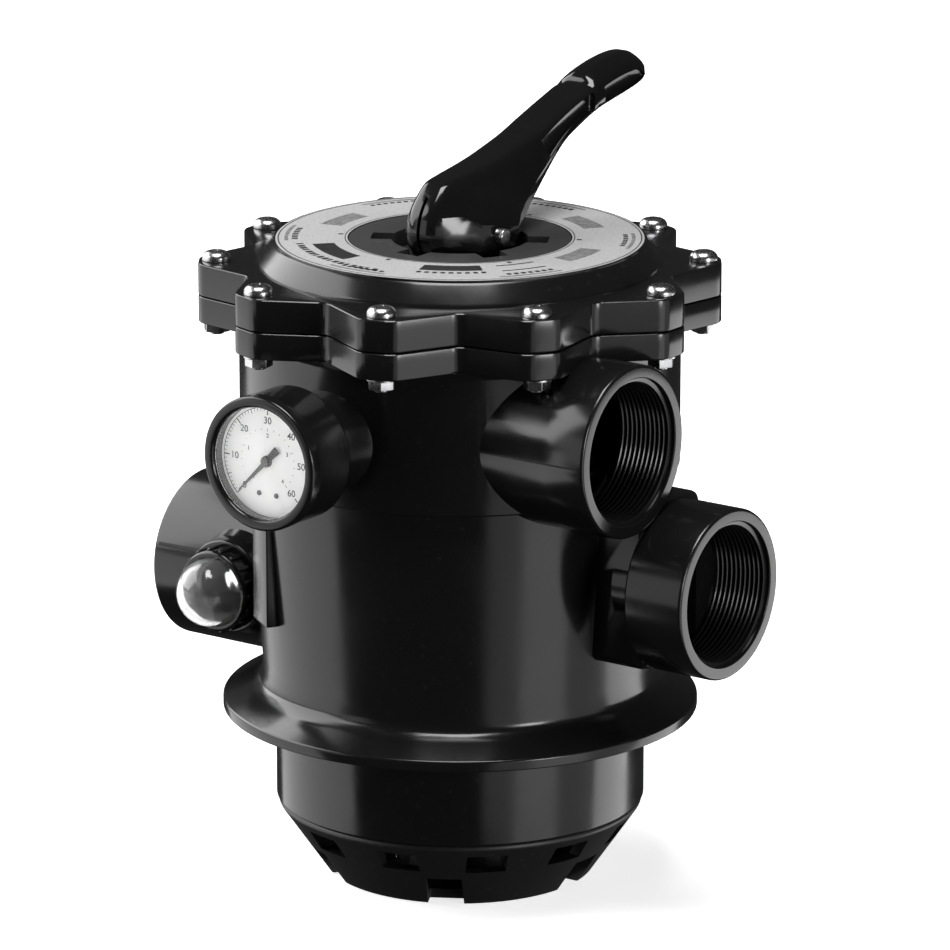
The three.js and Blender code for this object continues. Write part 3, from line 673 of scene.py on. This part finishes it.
# ---- Sight glass and gauge --------------------------------------------------------------------
def make_sight_glass():
    base = SIGHT_FACE + GAP
    outside, inside = [], []
    for i in range(17):
        a = math.pi / 2 * i / 16
        outside.append((14.5 * math.cos(a), 51 + 14.5 * math.sin(a)))
        inside.append((12.6 * math.cos(a), 51 + 12.6 * math.sin(a)))
    outside[-1] = (0, 65.5)
    inside[-1] = (0, 63.6)
    rim = [(0, base), (15.9, base, 0.3), (15.9, base + 2.4, 0.3), (14.5, base + 2.4)]
    dome = lathe("dome", rim + outside, "-y", SIGHT, ROUND)
    cut(dome, lathe("inside", [(0, base - 1), (12.6, base - 1)] + inside, "-y", SIGHT, ROUND))
    finish_piece(dome, DOME, "valve_body", "clear_dome", "sight_glass")
    ring_nut = lathe("ring_nut", [
        (17.4, base, 0.5), (17.4, base + 7.6, 1.0), (16.6, base + 8.6, 0.6), (14.8, base + 8.6, 0.4),
        (14.8, base + 2.8), (16.3, base + 2.8), (16.3, base)], "-y", SIGHT, ROUND)
    ribs = []
    for angle in around(18):
        rib = block("rib", (16, 18.25), (-1.0, 1.0), (base + 0.5, base + 7.0), 0.5, angle)
        rib.data.transform(TURN["-y"])
        rib.data.transform(Matrix.Translation(Vector(SIGHT) * MM))
        ribs.append(rib)
    join(ring_nut, *ribs)
    finish_piece(ring_nut, GLOSS, "valve_body", "gloss_black", "sight_glass_nut")


def make_gauge():
    front, back, r = GAUGE_FRONT, GAUGE_BACK, GAUGE_RADIUS
    case = lathe("gauge_shell", [
        (0, back), (r - 3, back, 2), (r - 0.3, back + 3, 1.5), (r - 0.3, front - 6), (r, front - 5.4, 0.4),
        (r, front, 1.3), (GAUGE_INNER + 0.6, front, 0.6), (GAUGE_INNER, front - 1.2), (GAUGE_INNER, 128),
        (0, 128)],
        "-y", GAUGE, ROUND)
    cut(case, lathe("hole", disc(5, back - 1, 118), "-y", GAUGE, 32))
    finish_piece(case, GLOSS, "valve_body", "gloss_black", "gauge_case")
    plate = lathe("dial_plate", disc(GAUGE_INNER - GAP, 128.3, 129.2, 0.1), "-y", GAUGE, ROUND)
    finish_piece(plate, DIAL, "valve_body", "dial_white", "gauge_dial")
    lens = lathe("gauge_window", disc(GAUGE_INNER - 0.1, 133.2, 134.4, 0.2), "-y", GAUGE, ROUND)
    finish_piece(lens, LENS, "valve_body", "clear_lens", "gauge_lens")
    make_dial_print()
    hub = lathe("pointer", [(0, 129.6), (2.4, 129.6, 0.2), (2.2, 131.3, 0.5), (0, 131.6)],
                "-y", (0, 0, 0), 48)
    blade = prism("blade", [(-1.6, -7.5), (1.6, -7.5), (1.0, 0), (0.25, 18.8), (-0.25, 18.8), (-1.0, 0)],
                  -0.3, 0.3)
    blade.data.transform(Matrix.Rotation(math.radians(90), 4, "X"))
    blade.data.transform(Matrix.Translation(Vector((0, -130.3, 0)) * MM))
    join(hub, blade)
    hub.data.transform(Matrix.Rotation(math.radians(-135), 4, "Y"))
    hub.data.transform(Matrix.Translation(Vector(GAUGE) * MM))
    finish_piece(hub, NEEDLE, "needle", "needle_black", "gauge_needle")


def make_dial_print():
    """Scale arc, ticks and generic numbers from 0 to 60 on the dial."""
    depth = 129.2
    parts = []

    def on_dial(obj):
        obj.data.transform(Matrix.Rotation(math.pi / 2, 4, "X"))
        obj.data.transform(Matrix.Translation(Vector((0, -depth, GAUGE[2])) * MM))
        parts.append(obj)

    for i in range(61):
        angle = 225 - 270 * i / 60
        inner, half = (18.6, 0.26) if i % 10 == 0 else ((19.4, 0.18) if i % 5 == 0 else (20.0, 0.11))
        on_dial(block("tick", (inner, 21.2), (-half, half), (-0.02, 0.06), 0, angle))
    on_dial(prism("arc", sector_outline(21.2, 21.5, -45, 225, 96), -0.02, 0.06))
    for i in range(21):
        angle = 225 - 270 * i / 20
        on_dial(block("tick", (12.4 if i % 5 else 11.8, 13.2), (-0.09, 0.09), (-0.02, 0.06), 0, angle))
    for value in range(0, 61, 10):
        angle = math.radians(225 - 270 * value / 60)
        number(str(value), 3.0, 16.2 * math.cos(angle), 16.2 * math.sin(angle), on_dial)
    for value in range(0, 5):
        angle = math.radians(225 - 270 * value / 4)
        number(str(value), 1.8, 10.2 * math.cos(angle), 10.2 * math.sin(angle), on_dial)
    merged(parts, "dial_marks", INK, slot="dial_white")
    dots = [lathe("dial_screws", disc(1.05, depth - 0.1, depth + 0.5, 0.2), "-y",
                  (x, 0, GAUGE[2] - 13.5), 24) for x in (-4.2, 4.2)]
    merged(dots, "dial_screws", NEEDLE, slot="needle_black")


def number(text, height, x, y, put):
    curve = bpy.data.curves.new("number", "FONT")
    curve.body = text
    curve.size = height * 1.3 * MM
    curve.align_x = "CENTER"
    curve.align_y = "CENTER"
    curve.extrude = 0.04 * MM
    curve.offset = 0.05 * MM
    holder = bpy.data.objects.new("number", curve)
    bpy.context.collection.objects.link(holder)
    depsgraph = bpy.context.evaluated_depsgraph_get()
    mesh = bpy.data.meshes.new_from_object(holder.evaluated_get(depsgraph))
    bpy.data.objects.remove(holder)
    mesh.transform(Matrix.Translation(Vector((x, y, 0)) * MM))
    obj = bpy.data.objects.new("number", mesh)
    bpy.context.collection.objects.link(obj)
    put(obj)


# ---- Handle -----------------------------------------------------------------------------------
# Cross-sections that fan out from the heel: front or top point, rear or under point (Y, Z),
# then the half widths at the four places of SECTION_STATIONS along the section. From the
# section number CROWN_FROM on, the top of the grip is crowned.
CROWN_FROM = 15
BLEND_STEPS = 5          # rows made between two sections
SECTION_STEPS = 64       # points round a section
SQUARENESS = 6.0         # 2 is an ellipse; more is squarer
FACET_TILT = 8.0         # degrees up
FACET_TURN = 34.6        # degrees from the cheek's own direction
FACET_AT = (14.6, -15.8, 203)
SECTION_STATIONS = (-1.0, -0.2, 0.25, 1.0)
HANDLE_SECTIONS = (
    ((-25.0, 194.6), (24.0, 194.6), (7.2, 22.4, 22.4, 14.0)),
    ((-28.6, 202.0), (27.5, 196.8), (7.2, 22.4, 22.4, 13.2)),
    ((-28.6, 208.0), (29.8, 198.6), (7.2, 22.2, 22.4, 12.8)),
    ((-26.6, 214.0), (31.0, 199.8), (7.1, 20.6, 22.0, 12.4)),
    ((-22.5, 219.5), (32.2, 201.2), (7.0, 18.0, 20.6, 12.1)),
    ((-17.0, 224.2), (33.6, 202.9), (6.8, 15.6, 19.0, 11.9)),
    ((-8.0, 225.8), (35.0, 204.6), (7.6, 13.8, 17.0, 11.7)),
    ((4.0, 227.3), (36.8, 206.6), (8.6, 12.6, 15.2, 11.5)),
    ((16.0, 229.2), (39.0, 208.9), (9.2, 11.9, 13.8, 11.3)),
    ((28.0, 231.9), (42.0, 212.0), (9.5, 11.5, 12.6, 11.1)),
    ((40.0, 235.0), (46.0, 216.0), (9.7, 11.2, 11.9, 10.9)),
    ((52.0, 239.0), (52.5, 222.3), (9.8, 11.1, 11.4, 10.7)),
    ((62.0, 242.2), (61.0, 228.8), (9.8, 11.0, 11.0, 10.5)),
    ((72.0, 245.4), (71.5, 233.5), (9.8, 11.0, 11.0, 10.5)),
    ((79.0, 247.6), (79.5, 236.6), (9.8, 11.0, 11.0, 10.5)),
    ((82.0, 249.2), (83.0, 237.5), (7.6, 10.8, 11.0, 10.4)),
    ((84.5, 252.4), (86.0, 238.1), (4.6, 10.4, 11.0, 10.2)),
    ((91.0, 255.2), (92.0, 239.3), (3.6, 10.3, 11.0, 10.2)),
    ((101.0, 257.4), (101.0, 240.9), (3.6, 10.3, 11.0, 10.2)),
    ((111.0, 258.2), (109.5, 242.5), (3.6, 10.2, 10.9, 10.0)),
    ((117.8, 257.0), (115.5, 243.6), (3.4, 9.6, 10.3, 9.2)),
    ((121.8, 253.4), (119.8, 244.7), (3.2, 8.2, 9.0, 7.8)),
    ((123.4, 249.6), (122.4, 246.4), (4.2, 6.0, 6.0, 4.8)),
)


def blend_rows(rows, steps):
    """Catmull-Rom points through rows of numbers."""
    out = []
    last = len(rows) - 1
    for i in range(last):
        p0, p1, p2, p3 = rows[max(i - 1, 0)], rows[i], rows[i + 1], rows[min(i + 2, last)]
        for k in range(steps):
            t = k / steps
            out.append([0.5 * (2 * b + (c - a) * t + (2 * a - 5 * b + 4 * c - d) * t * t
                               + (3 * b - a - 3 * c + d) * t ** 3)
                        for a, b, c, d in zip(p0, p1, p2, p3)])
    return out + [rows[-1]]


def half_width(s, widths, crown):
    for k in range(3):
        start, end = SECTION_STATIONS[k], SECTION_STATIONS[k + 1]
        if s <= end:
            t = (s - start) / (end - start)
            if k == 0:
                t += (math.sin(t * math.pi / 2) - t) * crown
            return widths[k] + (widths[k + 1] - widths[k]) * t
    return widths[-1]


def loft_handle(name):
    """Skins the handle's sections, each a rounded rectangle between its two points."""
    rows = blend_rows([[*a, *b, *w, float(i >= CROWN_FROM)]
                       for i, (a, b, w) in enumerate(HANDLE_SECTIONS)], BLEND_STEPS)
    verts, faces = [], []
    for ay, az, by, bz, *widths, crown in rows:
        for k in range(SECTION_STEPS):
            angle = 2 * math.pi * (k + 0.5) / SECTION_STEPS
            c, d = math.cos(angle), math.sin(angle)
            s = math.copysign(abs(d) ** (2 / SQUARENESS), d)
            x = math.copysign(abs(c) ** (2 / SQUARENESS), c) * half_width(s, widths, crown)
            t = (s + 1) / 2
            verts.append((x, ay + (by - ay) * t, az + (bz - az) * t))
    for i in range(len(rows) - 1):
        for k in range(SECTION_STEPS):
            n = (k + 1) % SECTION_STEPS
            a, b = i * SECTION_STEPS, (i + 1) * SECTION_STEPS
            faces.append([a + k, a + n, b + n, b + k])
    faces.append(list(range(SECTION_STEPS))[::-1])
    start = (len(rows) - 1) * SECTION_STEPS
    faces.append(list(range(start, start + SECTION_STEPS)))
    obj = mesh_object(name, verts, faces)
    mesh = bmesh.new()
    mesh.from_mesh(obj.data)
    bmesh.ops.recalc_face_normals(mesh, faces=mesh.faces)
    mesh.to_mesh(obj.data)
    mesh.free()
    return obj


def facet_cutter(side):
    """Takes a thin shaving off the cheek in front of the pin, leaving a face tilted up a little."""
    cutter = block("facet", (0, 12), (-10, 10.5), (-9, 9))
    cutter.data.transform(Matrix.Rotation(math.radians(-FACET_TILT), 4, "Y"))
    cutter.data.transform(Matrix.Rotation(math.radians(-FACET_TURN), 4, "Z"))
    cutter.data.transform(Matrix.Translation(Vector(FACET_AT) * MM))
    if side < 0:
        cutter.data.transform(Matrix.Scale(-1, 4, (1, 0, 0)))
        cutter.data.flip_normals()
    return cutter


def make_handle():
    lever = loft_handle("lever")
    cutters = [
        lathe("room", disc(15.6, -12, 12), "+x", (0, 0, PIN_Z), ROUND),
        block("room", (-12, 12), (-15.6, 15.6), (180, PIN_Z)),
        lathe("pin", disc(3.3, -30, 30), "+x", (0, 0, PIN_Z), 48),
        block("slot", (-0.8, 0.8), (-34, -22), (180, 222.5)), facet_cutter(1), facet_cutter(-1)]
    hub_pocket = [(43, 232.4)] + bezier((43, 232.4), (60, 241), (81, 246.6)) + \
        [(81, 239.2)] + bezier((81, 239.2), (62, 233.8), (50, 222.5))
    tip_pocket = [(88.5, 247.6)] + bezier((88.5, 247.6), (102, 251.2), (113, 251)) + \
        bezier((113, 251), (119, 250), (118.8, 246.6)) + [(110, 244.2), (88.5, 240.8)]
    for outline in (hub_pocket, tip_pocket):
        for side in (-1, 1):
            limits = sorted((side * 8.0, side * 20))
            cutters.append(side_slab("pocket", outline[::-1], limits, 0.9))
    cut(lever, *cutters)
    bevel(lever, 0.45, 2, 48)
    finish_piece(lever, GRIP, "lever", "gloss_black", "handle", angle=38)
    pin = lathe("pivot_pin", disc(3.2, -PIN_HALF, PIN_HALF, 0.7), "+x", (0, 0, PIN_Z), 48)
    finish_piece(pin, STEEL, "stem_body", "stainless", "handle_pin")


# ---- Carried-over CAD nodes inside the valve --------------------------------------------------
def dress_inner_nodes():
    finishes = {"stem": INNER, "rotor": INNER, "port_divider": INNER, "thrust_washer": INNER,
                "spring": STEEL,
                "spring_washer": STEEL, "gauge_stem": BRASS, "spider_gasket": RUBBER,
                "stem_o_ring_1": RUBBER, "stem_o_ring_2": RUBBER, "cover_o_ring": RUBBER,
                "sight_glass_o_ring": RUBBER, "tank_o_ring": RUBBER}
    for node, material in finishes.items():
        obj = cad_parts[node]
        for k in range(len(obj.material_slots)):
            obj.material_slots[k].material = material
        if not obj.material_slots:
            obj.data.materials.append(material)


# ---- Studio -----------------------------------------------------------------------------------
def softbox(name, azimuth, elevation, distance, width, height, radiance):
    """A rectangular light in the given direction from the valve, of even brightness."""
    a, e = math.radians(azimuth), math.radians(elevation)
    middle = Vector((0, 0, 0.1))
    data = bpy.data.lights.new(name, "AREA")
    data.shape = "RECTANGLE"
    data.size = width
    data.size_y = height
    data.energy = radiance * math.pi * width * height
    light = bpy.data.objects.new(name, data)
    outward = Vector((math.cos(a) * math.cos(e), math.sin(a) * math.cos(e), math.sin(e)))
    light.location = middle + outward * distance
    light.rotation_euler = outward.to_track_quat("Z", "Y").to_euler()
    light.visible_camera = False
    bpy.context.collection.objects.link(light)


def background(world, strength):
    node = world.node_tree.nodes.new("ShaderNodeBackground")
    node.inputs["Color"].default_value = (1, 1, 1, 1)
    node.inputs["Strength"].default_value = strength
    return node.outputs["Background"]


def make_studio():
    floor = mesh_object("floor", [(-6000, -6000, 0), (6000, -6000, 0), (6000, 6000, 0), (-6000, 6000, 0)],
                        [[0, 1, 2, 3]])
    floor.location.z = cad_box[0][2] - 0.0003
    pale = Nodes("floor_pale", (0.9, 0.9, 0.9), 0.9)
    pale.mix(pale.remap(pale.noise(3, 3.0), 0.3, 0.7, 0.0, 1.0), (0.9, 0.9, 0.9), (0.88, 0.88, 0.88))
    pale.set("Specular IOR Level", 0.0)
    pale.set("Emission Color", (1, 1, 1, 1))
    pale.set("Emission Strength", 0.75)
    floor.data.materials.append(pale.material)
    floor.visible_glossy = False
    floor.visible_diffuse = False
    floor.visible_shadow = False
    softbox("left_key", -166, 28, 2.0, 2.7, 1.6, 4.2)
    softbox("left_low", -163, -16, 2.0, 3.0, 1.3, 1.5)
    softbox("front_fill", -118, 6, 2.2, 0.8, 1.2, 0.9)
    softbox("right_wall", -2, -10, 2.0, 2.9, 1.6, 0.6)
    softbox("right_key", -6, -14, 1.9, 0.9, 1.1, 0.9)
    softbox("facet_light", -14, 9, 1.9, 0.5, 0.5, 12.0)
    softbox("right_back", 56, -24.5, 2.0, 1.2, 1.0, 2.8)
    softbox("top", -60, 82, 2.0, 1.1, 1.1, 11.0)
    world = bpy.data.worlds.new("studio")
    bpy.context.scene.world = world
    world.use_nodes = True
    nodes, links = world.node_tree.nodes, world.node_tree.links
    nodes.clear()
    path = nodes.new("ShaderNodeLightPath")
    mix = nodes.new("ShaderNodeMixShader")
    out = nodes.new("ShaderNodeOutputWorld")
    links.new(path.outputs["Is Camera Ray"], mix.inputs["Fac"])
    links.new(background(world, 0.03), mix.inputs[1])
    links.new(background(world, 1.05), mix.inputs[2])
    links.new(mix.outputs["Shader"], out.inputs["Surface"])
    bpy.context.scene.view_settings.view_transform = "Standard"


make_cover()
make_index_disc()
make_position_plate()
make_fasteners()
make_upper_body()
make_lower_body()
make_strainer_cone()
make_sight_glass()
make_gauge()
make_handle()
dress_inner_nodes()
make_studio()
